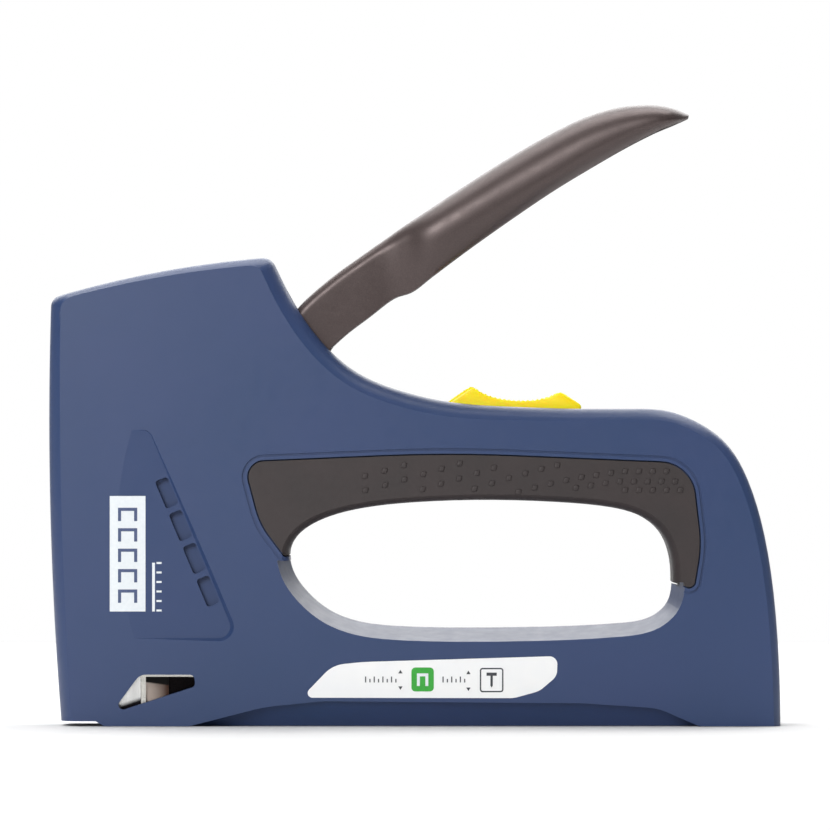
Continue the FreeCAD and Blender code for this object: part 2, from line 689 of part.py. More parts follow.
def make_hook():
    body = doc.addObject("PartDesign::Body", "hook")
    low, high = across("hook_half")
    link(body, ("lift_x", "lift_z", "3.3"), ("elbow_x", "elbow_z", "2"), low, high)
    link(body, ("elbow_x", "elbow_z", "2"), ("catch_x", "catch_z", "1.8"), low, high)
    disc(body, "lift_x", "lift_z", "3.3", *across("hook_boss_half"))
    disc(body, "lift_x", "lift_z", "lift_pin_radius + running_fit",
         *across("hook_boss_half"), True)
    node(body, "lift_hook")
    node(rod("lift_pin", "lift_x", "lift_z", "lift_pin_radius",
             across("arm_inner + arm_gauge")), "hook_pin")
    turned = FreeCAD.Rotation(V(1, 0, 0), -90)
    place = FreeCAD.Placement(V(size("lift_x"), 1.95, size("lift_z")), turned)
    node(coil("hook_coil", "3.3 + 0.5", "0.35", "1.2", 1.4, place), "hook_spring")


# ---------------------------------------------------------------- hammer and nose

def make_hammer():
    head = block("hammer_head", ("hammer_front", "hammer_rear"), across("hammer_half"),
                 ("hammer_low", "hammer_top"))
    lug = block("hammer_lug", ("lug_front", "lug_rear"), across("lug_half"),
                ("hammer_low", "lug_top"))
    spigot = post("hammer_spigot", "spring_x", "0", "6", ("hammer_top", "hammer_top + 5"))
    eye = block("hammer_eye", ("lug_front - 1", "lug_rear + 1"), across("2.2"),
                ("67.5", "ledge"))
    holes = [bar("rivet_hole", "0", z, "1.5", ("hammer_front - 1", "-78"))
             for z in (44, 53)]
    node(cut("hammer_body", fuse("hammer_solid", head, lug, spigot), eye, *holes), "hammer")

    face = "hammer_front"
    sheet_blade = block("blade_sheet", (f"{face} - blade_gauge", face),
                        across("blade_half"), ("blade_low", "blade_top"))
    holes = [bar("blade_hole", "0", z, "1.5", (f"{face} - 3", f"{face} + 1"))
             for z in (44, 53)]
    node(cut("blade", sheet_blade, *holes), "driver_blade")
    rivets = []
    for z in (44, 53):
        rivets.append(bar("rivet_shank", "0", z, "1.5", (f"{face} - blade_gauge", "-78")))
        rivets.append(bar("rivet_head", "0", z, "2.4",
                          (f"{face} - blade_gauge - 0.7", f"{face} - blade_gauge")))
    node(fuse("rivets", *rivets), "blade_rivets")


def make_spring():
    wire_radius = size("spring_wire")
    place = FreeCAD.Placement(V(size("spring_x"), 0, size("hammer_top") + wire_radius + 0.05),
                              FreeCAD.Rotation())
    node(coil("main_coil", "spring_radius", "spring_wire",
              "spring_top - hammer_top - 2 * spring_wire - 0.1", 8, place), "main_spring")
    plug = post("seat_plug", "spring_x", "0", "spigot_radius",
                ("spring_top - 5", "spring_top"))
    flange = post("seat_flange", "spring_x", "0", "9", ("spring_top", "spring_top + 2"))
    node(fuse("seat", plug, flange), "spring_seat")
    stop = block("stop", ("-85.5", "-67"), across("7"), ("guide_top", "hammer_low - 0.2"))
    node(stop, "bumper")


def make_nose():
    node(block("nose_sheet", ("-89.4", "-88.2"), across("magazine_half"),
               ("magazine_low", "guide_top + 5")), "nose_plate")
    outer = block("guide_block", ("guide_front", "magazine_front - 0.1"),
                  across("magazine_half"), ("magazine_low", "guide_top"))
    room = block("guide_room", ("guide_front - 1", "magazine_front + 1"),
                 across("pusher_half + 0.3"), ("0", "pusher_top + 0.6"))
    node(cut("guide", outer, room), "nose_guide")


# ---------------------------------------------------------------- magazine and feed

def make_magazine():
    inner = "magazine_half - magazine_wall"
    outer = block("channel_outer", ("magazine_front", "magazine_rear"),
                  across("magazine_half"), ("magazine_low", "magazine_top"))
    room = block("channel_room", ("magazine_front - 1", "magazine_rear + 1"),
                 across(inner), ("0", "magazine_top - magazine_wall"))
    sight = block("channel_sight", ("magazine_front + 1.2", "-52"), across("20"),
                  ("4", "magazine_low + 11.2"))
    node(cut("channel", outer, room, sight), "magazine_channel")


def make_feed():
    inner = "rail_half - rail_wall"
    outer = block("rail_outer", ("rail_front", "rail_rear"), across("rail_half"),
                  ("rail_low", "rail_top"))
    room = block("rail_room", ("rail_front + 1", "rail_rear - 4"), across(inner),
                 ("0", "rail_top - rail_wall"))
    slot = block("rail_slot", ("rail_front + 1", "62"), across("1.3"), ("5", "20"))
    hole = bar("rail_hole", "0", "rod_z", "rod_radius", ("rail_front - 1", "rail_rear + 1"))
    node(cut("rail", outer, room, slot, hole), "feed_rail")
    node(bar("rod", "0", "rod_z", "rod_radius", ("rail_front", "rail_rear")), "feed_rod")
    along = FreeCAD.Rotation(ALONG_Y, 90)
    place = FreeCAD.Placement(V(-59.2, 0, size("rod_z")), along)
    node(coil("feed_coil", "rod_radius + 0.8", "0.35", "138", 40, place), "feed_spring")

    inner = "pusher_half - pusher_wall"
    saddle = block("saddle", ("pusher_front", "pusher_rear"), across("pusher_half"),
                   ("4", "pusher_top"))
    room = block("saddle_room", ("pusher_front - 1", "pusher_rear + 1"), across(inner),
                 ("0", "rail_top + 0.3"))
    web = block("pusher_web", ("-70", "pusher_rear"), across("1"), ("8", "rail_top + 1"))
    foot = block("pusher_foot", ("-70", "-60"), across("3.2"), ("3.6", "9"))
    bore = bar("pusher_bore", "0", "rod_z", "rod_radius + running_fit", ("-71", "-59"))
    node(cut("pusher_body", fuse("pusher_solid", cut("pusher_saddle", saddle, room), web,
                                 foot), bore), "pusher")

    grips = [bar("knob_groove", side * size("knob_half"), z, "0.8", ("rail_rear + 1", "95"))
             for side in (-1, 1) for z in (7, 10, 13, 16)]
    knob = block("knob_block", ("rail_rear", "knob_rear"), across("knob_half"), ("2", "20"))
    node(cut("knob", knob, *grips), "rear_knob")
    leaf = block("clip_leaf", ("71", "rail_rear"), across("3"), ("13.4", "14.0"))
    tooth = block("clip_tooth", ("71", "73.5"), across("3"), ("14.0", "16.2"))
    node(fuse("clip", leaf, tooth), "knob_clip")


# ---------------------------------------------------------------- force slider

SLIDER = [(7.6, 81.6), (8.2, 83.2, 1), (13.6, 87.2, 2.4), (19.5, 83.3, 8),
          (30.5, 82.6, 8), (36.4, 85.5, 1.8), (41.9, 81.9, 0.6), (41.7, 79.8)]


def make_slider():
    body = plate("slider", [SLIDER], *across("slider_half"))
    sketch = sketch_on(body, "XZ_Plane")
    sketch.setExpression("AttachmentOffset.Base.z", cells("-stem_half"))
    sketch.addGeometry(rounded([(18, 76.6), (30, 76.6), (30, 82), (18, 82)],
                               lambda p: V(p.x, p.y, 0)), False)
    for index in range(sketch.GeometryCount):
        sketch.addConstraint(Sketcher.Constraint("Block", index))
    pad(body, sketch, "2 * stem_half")
    node(body, "force_slider")
    node(block("link_strip", ("-28", "30"), across("4"), ("75.6", "76.6")), "slider_link")
    node(plate("wedge", [[(-28, 75.6), (-20, 75.6), (-20, 71.8), (-22, 71.8)]], "-3", "3"),
         "trip_wedge")
    node(plate("detent", [[(35, 77.3), (36.8, 77.3, 1), (39.7, 78.2, 2), (48, 78.2),
                           (48, 77.8), (40, 77.8, 2), (37, 76.9, 1), (35, 76.9)]],
               "-2.5", "2.5"), "detent_spring")


make_casing()
make_screws()
make_lever()
make_arms()
make_pivot()
make_hook()
make_hammer()
make_spring()
make_nose()
make_magazine()
make_feed()
make_slider()
doc.recompute()

for item in doc.Objects:
    if "Invalid" in item.State or "Error" in item.State:
        raise RuntimeError(f"{item.Label} did not build: {item.State}")
for item in nodes:
    if item.Shape.isNull() or not item.Shape.isValid() or not item.Shape.Solids:
        raise RuntimeError(f"{item.Label} has no valid shape")

os.makedirs("parts", exist_ok=True)
for item in nodes:
    item.Shape.exportStep(f"parts/{item.Label}.step")
    box = item.Shape.BoundBox
    print(f"{item.Label}: {len(item.Shape.Solids)} solid(s), {item.Shape.Volume:.0f} mm3, "
          f"X {box.XMin:.1f} to {box.XMax:.1f}, Y {box.YMin:.1f} to {box.YMax:.1f}, "
          f"Z {box.ZMin:.1f} to {box.ZMax:.1f}")
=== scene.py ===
"""Looks for the hand tacker: materials, lever, slider, grip studs, prints, light and camera."""

import math

import bmesh
import bpy
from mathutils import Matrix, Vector
from mathutils.bvhtree import BVHTree


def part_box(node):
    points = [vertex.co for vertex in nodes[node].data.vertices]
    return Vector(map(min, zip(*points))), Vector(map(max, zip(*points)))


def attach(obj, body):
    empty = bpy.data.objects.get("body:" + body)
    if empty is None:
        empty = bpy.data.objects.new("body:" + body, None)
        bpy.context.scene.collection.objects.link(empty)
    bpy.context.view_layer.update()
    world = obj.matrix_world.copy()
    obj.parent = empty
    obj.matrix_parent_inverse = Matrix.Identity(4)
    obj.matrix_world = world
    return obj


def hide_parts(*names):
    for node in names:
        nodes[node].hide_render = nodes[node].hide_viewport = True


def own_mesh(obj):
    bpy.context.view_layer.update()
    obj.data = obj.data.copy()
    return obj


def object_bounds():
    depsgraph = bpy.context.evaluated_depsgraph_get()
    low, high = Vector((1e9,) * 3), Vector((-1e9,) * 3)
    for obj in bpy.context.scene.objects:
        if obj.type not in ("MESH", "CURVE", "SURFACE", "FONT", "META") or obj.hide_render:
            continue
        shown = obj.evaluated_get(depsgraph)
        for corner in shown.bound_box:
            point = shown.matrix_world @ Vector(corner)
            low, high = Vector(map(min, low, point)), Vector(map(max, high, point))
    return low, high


MM = 0.001
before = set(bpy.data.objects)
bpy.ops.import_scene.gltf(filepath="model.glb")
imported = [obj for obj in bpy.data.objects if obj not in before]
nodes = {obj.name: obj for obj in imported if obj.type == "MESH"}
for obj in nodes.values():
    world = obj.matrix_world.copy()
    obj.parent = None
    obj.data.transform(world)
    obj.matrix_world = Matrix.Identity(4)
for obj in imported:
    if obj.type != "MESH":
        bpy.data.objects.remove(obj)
cad_low, cad_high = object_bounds()


# ---------------------------------------------------------------- materials

NOISE_LOW, NOISE_HIGH = 0.3, 0.7       # the part of a noise's range that is used


def srgb(red, green, blue):
    """A linear colour from 0-255 display values."""
    def linear(value):
        part = value / 255
        return part / 12.92 if part <= 0.04045 else ((part + 0.055) / 1.055) ** 2.4
    return linear(red), linear(green), linear(blue), 1.0


def scaled(colour, factor):
    """A colour made darker or lighter by a factor."""
    return tuple(factor * part for part in colour[:3]) + (1.0,)


def ranged(tree, source, low, high, start, end):
    """The source, spread so that low..high becomes start..end."""
    node = tree.nodes.new("ShaderNodeMapRange")
    for socket, value in zip(("From Min", "From Max", "To Min", "To Max"),
                             (low, high, start, end)):
        node.inputs[socket].default_value = value
    tree.links.new(source, node.inputs["Value"])
    return node.outputs["Result"]


class Finish:
    """A principled material in object space, with noise for its colour, gloss and relief."""

    def __init__(self, name, colour, roughness, metallic=0.0, **extra):
        self.material = bpy.data.materials.new(name)
        self.material.use_nodes = True
        self.tree = self.material.node_tree
        self.shader = self.tree.nodes["Principled BSDF"]
        self.colour = colour
        self.roughness = roughness
        self.shader.inputs["Base Color"].default_value = colour
        self.shader.inputs["Roughness"].default_value = roughness
        self.shader.inputs["Metallic"].default_value = metallic
        for socket, value in extra.items():
            self.shader.inputs[socket.replace("_", " ")].default_value = value
        self.place = self.tree.nodes.new("ShaderNodeTexCoord").outputs["Object"]
        self.relief = None

    def link(self, start, end):
        self.tree.links.new(start, end)

    def noise(self, grain, detail, stretch=(1, 1, 1)):
        """Noise whose grain size is in millimetres."""
        mapping = self.tree.nodes.new("ShaderNodeMapping")
        mapping.inputs["Scale"].default_value = [1 / (grain * MM * s) for s in stretch]
        self.link(self.place, mapping.inputs["Vector"])
        node = self.tree.nodes.new("ShaderNodeTexNoise")
        node.inputs["Scale"].default_value = 1.0
        node.inputs["Detail"].default_value = detail
        self.link(mapping.outputs["Vector"], node.inputs["Vector"])
        return node.outputs["Fac"]

    def along(self, direction):
        """The place along a direction, in millimetres."""
        node = self.tree.nodes.new("ShaderNodeVectorMath")
        node.operation = "DOT_PRODUCT"
        node.inputs[1].default_value = [part / MM for part in direction]
        self.link(self.place, node.inputs[0])
        return node.outputs["Value"]

    def mottle(self, source, other, low=NOISE_LOW, high=NOISE_HIGH):
        """Turn the colour so far into another one as the source goes from low to high."""
        base = self.shader.inputs["Base Color"]
        node = self.tree.nodes.new("ShaderNodeMix")
        node.data_type = "RGBA"
        node.inputs["A"].default_value = self.colour
        node.inputs["B"].default_value = other
        if base.links:
            self.link(base.links[0].from_socket, node.inputs["A"])
        self.link(ranged(self.tree, source, low, high, 0, 1), node.inputs["Factor"])
        self.link(node.outputs["Result"], base)
        return self

    def polish(self, source, spread):
        """Vary the roughness by the source."""
        smooth, rough = self.roughness - spread, self.roughness + spread
        self.link(ranged(self.tree, source, NOISE_LOW, NOISE_HIGH, smooth, rough),
                  self.shader.inputs["Roughness"])
        return self

    def emboss(self, source, height, strength):
        """Relief from the source, height in millimetres, on top of earlier relief."""
        bump = self.tree.nodes.new("ShaderNodeBump")
        bump.inputs["Distance"].default_value = height * MM
        bump.inputs["Strength"].default_value = strength
        self.link(source, bump.inputs["Height"])
        if self.relief:
            self.link(self.relief, bump.inputs["Normal"])
        self.relief = bump.outputs["Normal"]
        self.link(self.relief, self.shader.inputs["Normal"])
        return self


def casing_paint():
    """Satin enamel over a cast shell: a faint orange peel and a slow drift in colour."""
    paint = Finish("casing_paint", srgb(42, 63, 102), 0.4, Specular_IOR_Level=0.5)
    paint.mottle(paint.noise(38, 2), srgb(46, 64, 105))
    paint.polish(paint.noise(3, 3), 0.03)
    paint.emboss(paint.noise(0.55, 2), 0.02, 0.5)
    return paint.emboss(paint.noise(2.6, 2), 0.02, 0.4).material


def grip_rubber():
    """Moulded soft rubber with a fine spark-eroded grain."""
    rubber = Finish("grip_skin", srgb(50, 44, 44), 0.56, Specular_IOR_Level=0.42)
    rubber.mottle(rubber.noise(9, 4), srgb(55, 47, 47))
    rubber.polish(rubber.noise(1.2, 3), 0.05)
    return rubber.emboss(rubber.noise(0.3, 3), 0.03, 0.7).material


def lever_coat():
    """Metallic brown-grey powder coat on pressed steel."""
    coat = Finish("lever_skin", srgb(78, 67, 66), 0.4, 0.45, Specular_IOR_Level=0.5)
    coat.mottle(coat.noise(0.3, 2), srgb(87, 75, 73), 0.35, 0.75)
    coat.polish(coat.noise(2, 3), 0.04)
    return coat.emboss(coat.noise(0.35, 2), 0.01, 0.5).material


def slider_plastic():
    """Bright yellow moulded plastic. Its faint glow is painted light, standing in for light
    that passes through.
    """
    plastic = Finish("slider_painted_glow", srgb(255, 230, 12), 0.38, Subsurface_Weight=0.6,
                     Subsurface_Scale=0.004, Emission_Color=srgb(255, 214, 20),
                     Emission_Strength=0.17)
    plastic.mottle(plastic.noise(4, 3), srgb(255, 226, 8))
    return plastic.emboss(plastic.noise(0.5, 3), 0.015, 0.5).material


def label_film():
    """White printed film with a faint gloss."""
    film = Finish("label_skin", srgb(248, 248, 247), 0.34)
    film.mottle(film.noise(7, 2), srgb(244, 245, 246))
    return film.emboss(film.noise(1.5, 2), 0.008, 0.4).material


def printed(name, colour, other):
    """Screen-printed ink, slightly uneven."""
    ink = Finish(name, colour, 0.5)
    ink.mottle(ink.noise(0.8, 3), other)
    return ink.emboss(ink.noise(0.25, 2), 0.008, 0.5).material


def drawn_metal(name, colour, roughness, stretch, metallic=1.0):
    """Bare or plated metal with fine drawing marks along one axis."""
    bare = Finish(name, colour, roughness, metallic)
    bare.mottle(bare.noise(5, 4), scaled(colour, 0.86))
    marks = bare.noise(0.16, 3, stretch)
    bare.polish(marks, 0.06)
    return bare.emboss(marks, 0.006, 0.4)


def metal(name, colour, roughness, stretch=(8, 1, 1)):
    return drawn_metal(name, colour, roughness, stretch).material


WINDOW_SLOPE = (-0.32, 0, 0.947)      # square to the window's slanting lower edge
WINDOW_SHADE = (29.6, 28.6)           # along it, where the painted dark reflection begins and is full
PUSHER_SLOPE = (0.13, 0, 1)           # square to the pusher's upper edge
PUSHER_SHADE = (1.7, 2.1)             # along it, where the painted shade along the upper edge begins and is full
PUSHER_CREAM_TO_BROWN = (-69.5, -64.0)          # along x, where cream begins to turn brown and is brown


def guide_painted_reflection():
    """Chrome plate with a painted dark reflection of the casing's inside along the window's
    edge.
    """
    plate = drawn_metal("guide_plate_painted_reflection", srgb(250, 250, 248), 0.2, (1, 1, 30))
    return plate.mottle(plate.along(WINDOW_SLOPE), srgb(30, 27, 30), *WINDOW_SHADE).material


def pusher_painted_shade():
    """Steel that runs from cream to brown along its length, with painted shade along its upper
    edge.
    """
    steel = drawn_metal("pusher_finish_painted_shade", srgb(236, 218, 205), 0.34, (12, 1, 1), 0.7)
    steel.mottle(steel.along((1, 0, 0)), srgb(84, 58, 46), *PUSHER_CREAM_TO_BROWN)
    return steel.mottle(steel.along(PUSHER_SLOPE), srgb(16, 14, 14), *PUSHER_SHADE).material


def moulded(name, colour, roughness):
    """Plain moulded plastic or rubber with a fine texture."""
    plain = Finish(name, colour, roughness)
    plain.mottle(plain.noise(6, 3), scaled(colour, 1.25))
    plain.polish(plain.noise(1.5, 3), 0.05)
    return plain.emboss(plain.noise(0.5, 3), 0.03, 0.6).material


FINISHES = {
    "casing_blue": casing_paint(),
    "grip_rubber": grip_rubber(),
    "lever_coat": lever_coat(),
    "slider_yellow": slider_plastic(),
    "label_white": label_film(),
    "magazine_chrome": metal("chrome_plate", srgb(222, 220, 214), 0.14, (30, 1, 1)),
    "steel": metal("ground_steel", srgb(170, 168, 166), 0.32),
    "spring_steel": metal("oiled_spring", srgb(120, 118, 120), 0.3, (1, 1, 1)),
    "screw_steel": metal("blackened_screw", srgb(96, 96, 100), 0.34, (1, 1, 1)),
    "inner_plastic": moulded("black_plastic", srgb(34, 34, 37), 0.5),
    "bumper_rubber": moulded("bumper_skin", srgb(28, 27, 28), 0.7),
}
INK = {
    "green": printed("green_ink", srgb(48, 163, 52), srgb(56, 170, 58)),
    "blue": printed("blue_ink", srgb(66, 80, 118), srgb(74, 88, 126)),
    "dark": printed("dark_ink", srgb(52, 54, 60), srgb(64, 66, 72)),
    "white": printed("white_ink", srgb(231, 236, 239), srgb(225, 231, 235)),
}


def finish_nodes():
    """Give every CAD node the finish of its own material slot."""
    for node in nodes.values():
        for holder in node.material_slots:
            holder.material = FINISHES[holder.material.name.split(".")[0]]
    # Blackened steel; on the feed rail its dark is also painted shade, for the dark inside seen
    # through the window.
    blackened_and_painted_shade = metal("blackened_strip_painted_shade", srgb(26, 23, 24), 0.3)
    for name, finish in (("nose_guide", guide_painted_reflection()), ("pusher", pusher_painted_shade()),
                         ("feed_rail", blackened_and_painted_shade), ("slider_link", blackened_and_painted_shade)):
        nodes[name].material_slots[0].material = finish


# ---------------------------------------------------------------- mesh building

def new_piece(name, mesh, material, body):
    """A mesh as a named piece of the object that rides on a body."""
    piece = bpy.data.objects.new(name, mesh)
    bpy.context.scene.collection.objects.link(piece)
    mesh.materials.append(material)
    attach(piece, body)
    return piece


def shade(mesh, sharp):
    """Smooth shading, with an edge left sharp past an angle in degrees."""
    mesh.shade_smooth()
    mesh.set_sharp_from_angle(angle=math.radians(sharp))
    return mesh


def outward(work, name):
    """The mesh of finished work, with every face turned outwards."""
    bmesh.ops.recalc_face_normals(work, faces=work.faces)
    mesh = bpy.data.meshes.new(name)
    work.to_mesh(mesh)
    work.free()
    return mesh


def skin(name, rings):
    """A closed mesh through equal closed rings of points in millimetres."""
    count = len(rings[0])
    points = [Vector(p) * MM for ring in rings for p in ring]
    faces = []
    for row in range(len(rings) - 1):
        for index in range(count):
            after = (index + 1) % count
            near, far = row * count, (row + 1) * count
            faces.append((near + index, near + after, far + after, far + index))
    faces.append(tuple(reversed(range(count))))
    faces.append(tuple(range((len(rings) - 1) * count, len(rings) * count)))
    mesh = bpy.data.meshes.new(name)
    mesh.from_pydata(points, [], faces)
    tidy(mesh)
    return mesh


def tidy(mesh):
    """Merge doubled points and turn every face outwards."""
    work = bmesh.new()
    work.from_mesh(mesh)
    bmesh.ops.remove_doubles(work, verts=work.verts, dist=1e-7)
    bmesh.ops.recalc_face_normals(work, faces=work.faces)
    work.to_mesh(mesh)
    work.free()


def smooth_through(rows, place):
    """The rows' values at place, from 0 to 1, on a smooth line through all of them."""
    spot = min(max(place, 0.0), 1.0) * (len(rows) - 1)
    index = min(int(spot), len(rows) - 2)
    t = spot - index
    before, after = rows[max(index - 1, 0)], rows[min(index + 2, len(rows) - 1)]
    result = []
    for a, b, c, d in zip(before, rows[index], rows[index + 1], after):
        result.append(b + 0.5 * t * (c - a + t * (2 * a - 5 * b + 4 * c - d
                                                  + t * (3 * (b - c) + d - a))))
    return result


# ---------------------------------------------------------------- lever

# top x and z, lower edge x and z, half width, the height and width of the shoulder,
# and how far the wall draws in towards its lower edge
LEVER = [
    (-36.4, 97.5, -28.5, 89.6, 8.0, 2.4, 2.4, 0),
    (-30.5, 106.6, -24.3, 94.2, 8.0, 2.6, 2.6, 0),
    (-22.5, 113.9, -18.6, 99.6, 8.0, 2.8, 2.8, 0),
    (-14.7, 119.6, -12.3, 104.4, 8.0, 3.0, 3.0, 0.1),
    (-8.0, 124.3, -6.2, 109.0, 8.1, 3.6, 3.4, 0.5),
    (-3.0, 127.8, -1.2, 110.9, 9.6, 4.6, 4.6, 1.4),
    (2.5, 131.4, 4.0, 114.9, 12.2, 7.4, 7.4, 2.4),
    (10.9, 137.0, 13.2, 121.8, 13.0, 8.6, 8.6, 3.0),
    (21.2, 143.6, 24.2, 129.6, 13.0, 9.2, 9.2, 3.4),
    (31.4, 149.6, 35.0, 136.9, 13.0, 9.2, 9.4, 3.6),
    (41.7, 154.8, 45.4, 143.2, 13.0, 8.4, 9.4, 3.6),
    (50.5, 157.6, 53.6, 147.9, 13.0, 7.0, 9.2, 3.2),
    (58.5, 158.4, 60.6, 151.5, 13.0, 5.0, 8.4, 2.6),
    (64.6, 157.7, 65.6, 153.6, 12.2, 3.0, 6.6, 1.4),
    (69.4, 156.0, 69.2, 155.1, 9.4, 0.7, 4.0, 0.0),
]
LEVER_GAUGE = 1.7                     # the pressed sheet's thickness
LIP_ROUND, LIP_DROP = 0.25, 0.12      # rounding of the wall's lower edge
INNER_LOSS = 0.8                      # how much tighter the shoulder is inside
SHOULDER_POWER = 0.9                  # under 1 makes the shoulder fuller than an ellipse
SHOULDER_SHARE = 0.9                  # the most of a section that its shoulder takes
LEVER_STATIONS, STATION_POWER = 150, 0.9
SHOULDER_STEPS, WALL_STEPS, TOP_STEPS = 12, 6, 8
TIP_X, TIP_RADIUS, TIP_REACH = 70.4, 11.0, 0.995


def tip_width(x, width):
    """The half width at x, where the palm's end is rounded seen from above."""
    start = TIP_X - TIP_RADIUS
    if x <= start:
        return width
    reach = min((x - start) / TIP_RADIUS, TIP_REACH)
    return width - TIP_RADIUS * (1 - math.sqrt(1 - reach * reach))


def arch(half, tall, rise, spread, taper):
    """Half of an arched section, from the lower edge to the middle of the top."""
    rise, spread = min(rise, SHOULDER_SHARE * tall), min(spread, SHOULDER_SHARE * half)
    line = []
    for step in range(WALL_STEPS):
        share = step / WALL_STEPS
        line.append((half - taper * (1 - share) ** 2, (tall - rise) * share))
    for step in range(SHOULDER_STEPS + 1):
        angle = step / SHOULDER_STEPS * math.pi / 2
        line.append((half - spread * (1 - math.cos(angle) ** SHOULDER_POWER),
                     tall - rise * (1 - math.sin(angle) ** SHOULDER_POWER)))
    for step in range(1, TOP_STEPS + 1):
        line.append(((half - spread) * (1 - step / TOP_STEPS), tall))
    return line


def lever_ring(place):
    """One closed section of the lever: an arched channel, open underneath."""
    top_x, top_z, low_x, low_z, half, rise, spread, taper = smooth_through(LEVER, place)
    half = tip_width(top_x, half)
    up = Vector((top_x - low_x, 0, top_z - low_z))
    tall = up.length
    up.normalize()
    hollow = max(tall - LEVER_GAUGE, 0.05)
    taper = min(max(taper, 0.0), 0.3 * half)
    outer = arch(half, tall, rise, spread, taper)
    inner = arch(max(half - LEVER_GAUGE, 0.3), hollow, rise * hollow / tall,
                 max(spread - INNER_LOSS, 0.2), taper)
    lip = [(half - taper - LIP_ROUND, -LIP_DROP),
           (half - taper - LEVER_GAUGE + LIP_ROUND, -LIP_DROP)]
    right = outer[::-1] + lip + inner
    loop = right + [(-a, b) for a, b in reversed(right[1:-1])]
    base = Vector((low_x, 0, low_z))
    return [base + up * b + Vector((0, a, 0)) for a, b in loop]


def make_lever():
    """The pressed lever: narrow neck, flare, and a broad arched palm with a rounded end."""
    places = [math.sin(index / LEVER_STATIONS * math.pi / 2) ** STATION_POWER
              for index in range(LEVER_STATIONS + 1)]
    mesh = skin("lever_palm", [lever_ring(place) for place in places])
    piece = new_piece("lever_palm", shade(mesh, 40), FINISHES["lever_coat"], "lever")
    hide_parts("lever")


# ---------------------------------------------------------------- force slider

SLIDER_TOP = [(7.7, 82.0), (8.1, 82.9), (10.4, 84.5), (13.0, 86.2), (14.0, 86.4),
              (15.2, 85.8), (18.5, 84.3), (22.4, 83.4), (26.3, 83.1), (30.0, 83.3),
              (33.2, 84.0), (35.9, 84.9), (37.0, 84.9), (38.6, 83.9), (41.2, 82.2),
              (41.8, 81.4)]
SLIDER_BASE = [(41.7, 79.9), (30.0, 79.9), (18.0, 80.6), (7.7, 81.7)]
SLIDER_MIDDLE, SLIDER_HALF = 24.5, 17.2
SLIDER_SIDE = 81.0                    # height above which the edge is rounded downwards
SLIDER_STEPS = 200
TOOTH_PITCH, TOOTH_DEPTH = 1.2, 0.42
TEETH = (15.6, 34.8)
# distance in from the side and how far the outline is drawn in there
SLIDER_EDGE = [(0.9, 0.0), (0.55, 0.06), (0.25, 0.22), (0.07, 0.48), (0.0, 0.8)]
STEM_PLACE, STEM_SIZE = (24, 0, 79), (12, 5.6, 4.8)


def slider_ring(y, inset):
    """One closed outline of the slider at y, drawn in by inset."""
    outline = []
    for index in range(SLIDER_STEPS + 1):
        x, z = smooth_through(SLIDER_TOP, index / SLIDER_STEPS)
        if TEETH[0] < x < TEETH[1]:
            phase = (x - TEETH[0]) / TOOTH_PITCH
            notch = abs(phase - round(phase)) * 2
            z -= max(TOOTH_DEPTH - inset, 0) * (1 - notch)
        outline.append((x, z))
    ring = []
    for x, z in outline + SLIDER_BASE:
        lean = (x - SLIDER_MIDDLE) / SLIDER_HALF
        sink = inset * min(max(z - SLIDER_SIDE, 0.0), 1.0)
        ring.append(Vector((x - inset * lean, y, z - sink)))
    return ring


def make_slider():
    """The yellow button with its finger teeth, and the stem under it."""
    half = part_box("force_slider")[1].y / MM
    edge = [(half - depth, inset) for depth, inset in SLIDER_EDGE]
    stations = [(-y, inset) for y, inset in reversed(edge)] + edge
    mesh = skin("slider_button", [slider_ring(y, inset) for y, inset in stations])
    work = bmesh.new()
    work.from_mesh(mesh)
    for vert in bmesh.ops.create_cube(work, size=1.0)["verts"]:
        vert.co = Vector(middle + size * part for middle, size, part
                         in zip(STEM_PLACE, STEM_SIZE, vert.co)) * MM
    work.to_mesh(mesh)
    work.free()
    piece = new_piece("slider_button", shade(mesh, 28), FINISHES["slider_yellow"], "slider")
    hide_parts("force_slider")


# ---------------------------------------------------------------- springs

COIL_SIDES, COIL_STEPS = 10, 26        # round the wire, and in each turn
DRIVE_TURNS, DRIVE_WIRE = 8, 1.1
FEED_TURNS, FEED_RADIUS, FEED_WIRE = 40, 2.0, 0.35


def coil(name, turns, radius, wire, start, end, centre, along):
    """A helical wire in millimetres from start to end along 'x' or 'z'."""
    pitch = (end - start - 2 * wire) / turns
    lean = math.atan2(pitch, 2 * math.pi * radius)
    rings = []
    for step in range(turns * COIL_STEPS + 1):
        angle = step / COIL_STEPS * 2 * math.pi
        height = start + wire + pitch * step / COIL_STEPS
        out = Vector((math.cos(angle), math.sin(angle), 0))
        ahead = Vector((-math.sin(angle), math.cos(angle), 0))
        across = Vector((0, 0, 1)) * math.cos(lean) - ahead * math.sin(lean)
        ring = []
        for side in range(COIL_SIDES):
            turn = side / COIL_SIDES * 2 * math.pi
            spot = out * (radius + wire * math.cos(turn)) + across * (wire * math.sin(turn))
            spot.z += height
            if along == "x":
                spot = Vector((spot.z, spot.x + centre[0], spot.y + centre[1]))
            else:
                spot = Vector((spot.x + centre[0], spot.y + centre[1], spot.z))
            ring.append(spot)
        rings.append(ring)
    return shade(skin(name, rings), 50)


def make_springs():
    """The two long springs."""
    low, high = (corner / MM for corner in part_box("main_spring"))
    radius = (high.x - low.x) / 2 - DRIVE_WIRE
    mesh = coil("drive_coil", DRIVE_TURNS, radius, DRIVE_WIRE, low.z, high.z,
                ((low.x + high.x) / 2, 0), "z")
    piece = new_piece("drive_coil", mesh, FINISHES["spring_steel"], "housing")
    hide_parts("main_spring")
    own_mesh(piece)
    low, high = (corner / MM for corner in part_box("feed_spring"))
    mesh = coil("feed_coil", FEED_TURNS, FEED_RADIUS, FEED_WIRE, low.x, high.x,
                (0, (low.z + high.z) / 2), "x")
    piece = new_piece("feed_coil", mesh, FINISHES["spring_steel"], "feed")
    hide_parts("feed_spring")
    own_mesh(piece)


# ---------------------------------------------------------------- surface details

